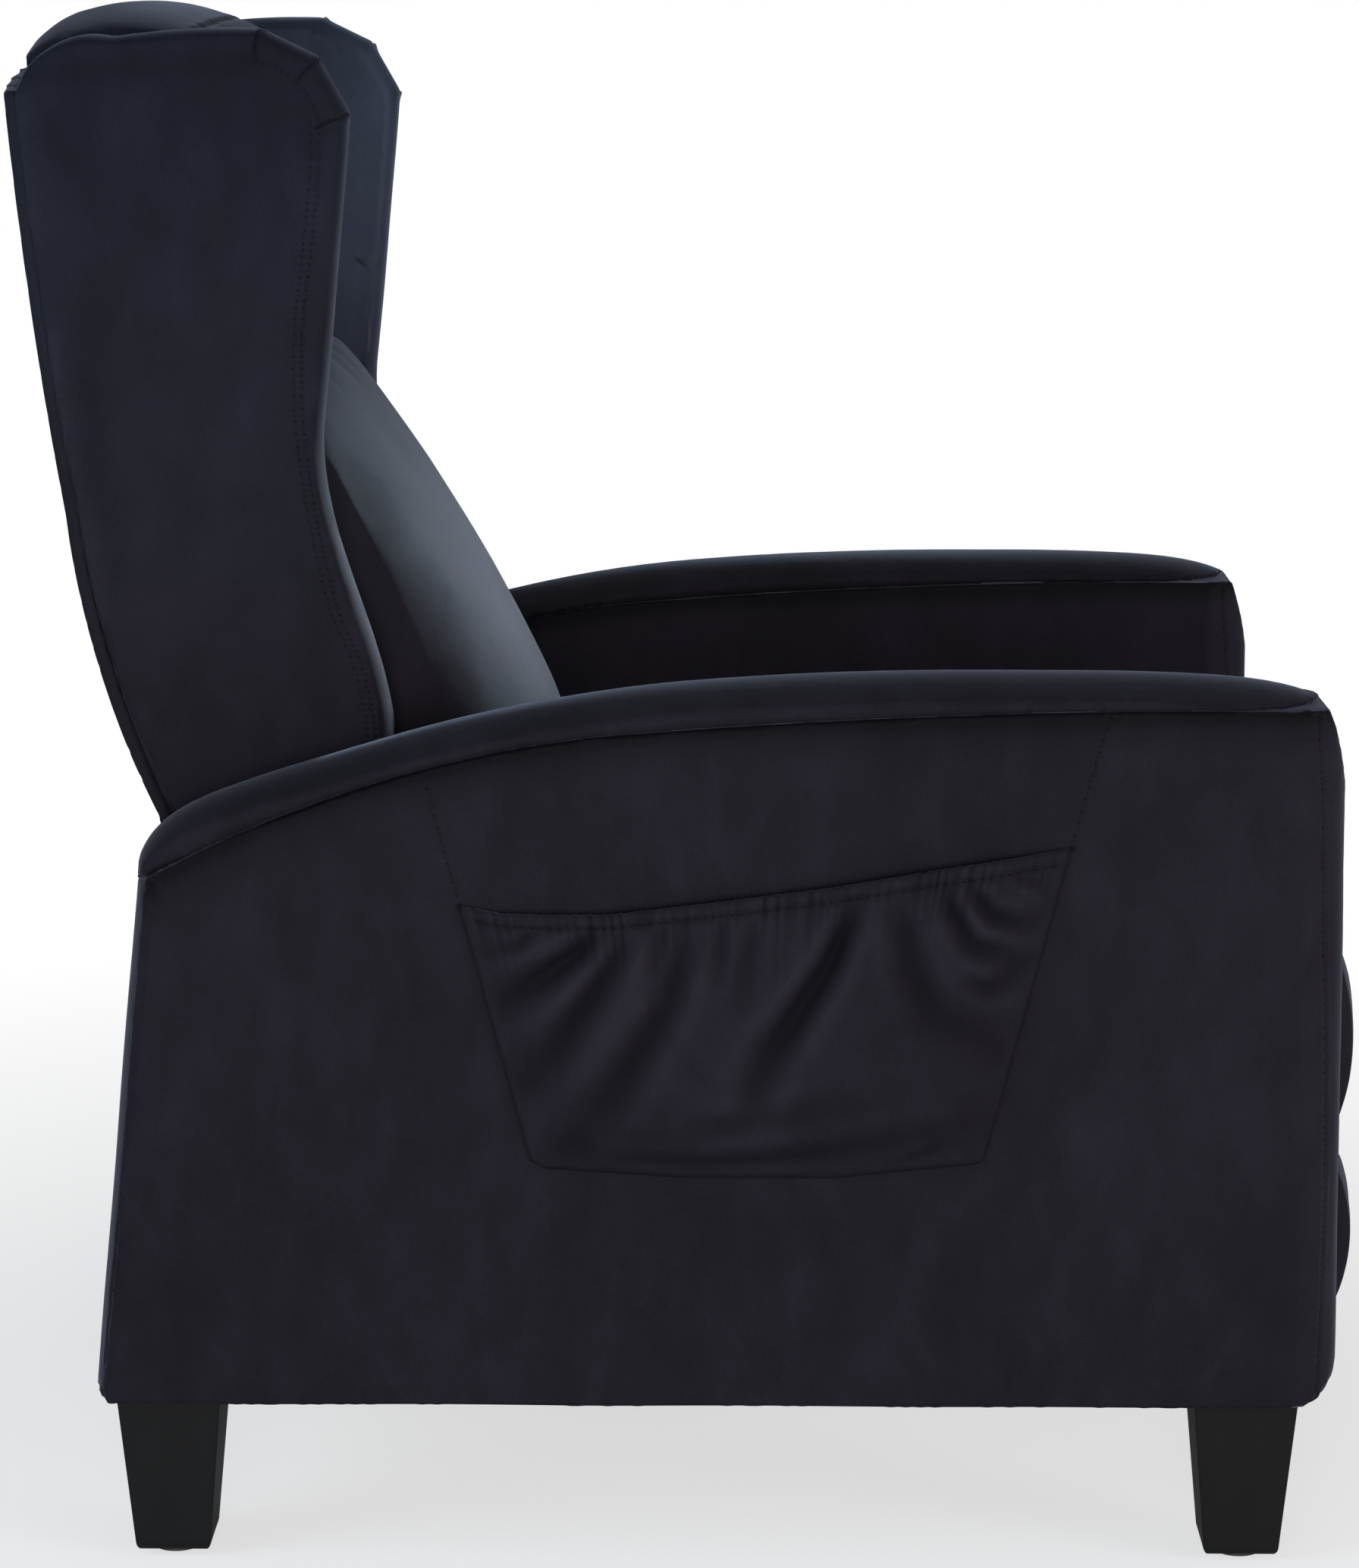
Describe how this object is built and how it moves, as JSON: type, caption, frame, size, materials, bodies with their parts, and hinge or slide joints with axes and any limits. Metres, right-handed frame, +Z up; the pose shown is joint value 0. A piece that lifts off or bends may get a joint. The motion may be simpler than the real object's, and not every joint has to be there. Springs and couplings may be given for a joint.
{
  "type": "wingback recliner",
  "caption": "Push-back wingback recliner: padded back with wings, box arms with gathered side pockets, tapered legs and a fold-out footrest.",
  "frame": {"origin": "on the floor, in the middle of the chair's width and depth", "axes": "+Z up, -Y the way the sitter faces, +X to the sitter's left"},
  "size_m": [0.7208, 0.932, 1.0416],
  "materials": {
    "velvet": "short-pile velvet, near-black navy",
    "pocket_velvet": "the same velvet, gathered on elastic",
    "leg_wood": "black satin lacquer",
    "glide_plastic": "moulded",
    "plywood": "bare plywood",
    "rail_wood": "bare sawn pine",
    "webbing": "woven elastic webbing",
    "zinc_steel": "zinc plated",
    "black_steel": "black coated pressed steel"
  },
  "bodies": {
    "base": {"arm_frame_left": "plywood", "arm_frame_right": "plywood", "arm_cover_left": "velvet", "arm_cover_right": "velvet", "arm_pad_left": "velvet", "arm_pad_right": "velvet", "side_pocket_left": "pocket_velvet", "side_pocket_right": "pocket_velvet", "front_leg_left": "leg_wood", "front_leg_right": "leg_wood", "rear_leg_left": "leg_wood", "rear_leg_right": "leg_wood", "leg_glides": "glide_plastic", "hanger_bolts": "zinc_steel", "front_base_rail": "rail_wood", "rear_base_rail": "rail_wood", "rear_base_panel": "velvet", "base_plate_left": "black_steel", "base_plate_right": "black_steel", "base_plate_bolts": "zinc_steel", "base_rivets": "zinc_steel"},
    "front_swing": {"front_swing_frame": "black_steel"},
    "rear_swing": {"rear_swing_frame": "black_steel"},
    "seat": {"seat_plate_left": "black_steel", "seat_plate_right": "black_steel", "seat_rivets": "zinc_steel", "seat_front_rail": "rail_wood", "seat_rear_rail": "rail_wood", "seat_side_rail_left": "rail_wood", "seat_side_rail_right": "rail_wood", "seat_straps": "webbing", "seat_cushion": "velvet"},
    "back": {"outside_back": "velvet", "wing_frame_left": "plywood", "wing_frame_right": "plywood", "back_bracket_left": "black_steel", "back_bracket_right": "black_steel", "bracket_screws": "zinc_steel", "wing_left": "velvet", "wing_right": "velvet", "back_bottom_rail": "rail_wood", "back_top_rail": "rail_wood", "back_straps": "webbing", "lumbar_cushion": "velvet", "head_cushion": "velvet"},
    "main_link_pair": {"main_links": "black_steel", "main_link_rivets": "zinc_steel"},
    "fore_link_pair": {"fore_links": "black_steel", "fore_link_rivets": "zinc_steel"},
    "control_link_pair": {"control_links": "black_steel"},
    "guide_link_pair": {"guide_links": "black_steel"},
    "footrest": {"footrest_board": "rail_wood", "footrest_bracket_left": "black_steel", "footrest_bracket_right": "black_steel", "footrest_screws": "zinc_steel", "footrest_rivets": "zinc_steel", "footrest_upper_roll": "velvet", "footrest_lower_roll": "velvet"}
  },
  "joints": [
    {"name": "front_swing_turn", "type": "hinge", "parent": "base", "child": "front_swing", "pos_m": [0, -0.15256, 0.22045], "axis": [1, 0, 0], "range_deg": [0, 38]},
    {"name": "rear_swing_turn", "type": "hinge", "parent": "base", "child": "rear_swing", "pos_m": [0, 0.14744, 0.22045], "axis": [1, 0, 0], "range_deg": [0, 38]},
    {"name": "seat_level", "type": "hinge", "parent": "front_swing", "child": "seat", "pos_m": [0, -0.12, 0.315], "axis": [-1, 0, 0], "range_deg": [0, 38]},
    {"name": "back_recline", "type": "hinge", "parent": "seat", "child": "back", "pos_m": [0, 0.27, 0.4], "axis": [-1, 0, 0], "range_deg": [0, 38]},
    {"name": "footrest_open", "type": "hinge", "parent": "seat", "child": "main_link_pair", "pos_m": [0, -0.3074, 0.277], "axis": [-1, 0, 0], "range_deg": [0, 95]},
    {"name": "control_link_turn", "type": "hinge", "parent": "seat", "child": "control_link_pair", "pos_m": [0, -0.2678, 0.3166], "axis": [-1, 0, 0], "range_deg": [0, 88.2]},
    {"name": "fore_link_fold", "type": "hinge", "parent": "main_link_pair", "child": "fore_link_pair", "pos_m": [0, -0.24447, 0.1041], "axis": [1, 0, 0], "range_deg": [0, 130]},
    {"name": "guide_link_fold", "type": "hinge", "parent": "main_link_pair", "child": "guide_link_pair", "pos_m": [0, -0.27196, 0.10169], "axis": [1, 0, 0], "range_deg": [0, 128.6]},
    {"name": "footrest_turn", "type": "hinge", "parent": "fore_link_pair", "child": "footrest", "pos_m": [0, -0.34547, 0.27903], "axis": [-1, 0, 0], "range_deg": [0, 120]}
  ],
  "couplings": [
    {"joint": "front_swing_turn", "follows": "back_recline", "ratio": 1},
    {"joint": "rear_swing_turn", "follows": "back_recline", "ratio": 1},
    {"joint": "seat_level", "follows": "back_recline", "ratio": 1},
    {"joint": "control_link_turn", "follows": "footrest_open", "ratio": 0.92842},
    {"joint": "fore_link_fold", "follows": "footrest_open", "ratio": 1.3684},
    {"joint": "guide_link_fold", "follows": "footrest_open", "ratio": 1.3537},
    {"joint": "footrest_turn", "follows": "footrest_open", "ratio": 1.2632}
  ]
}
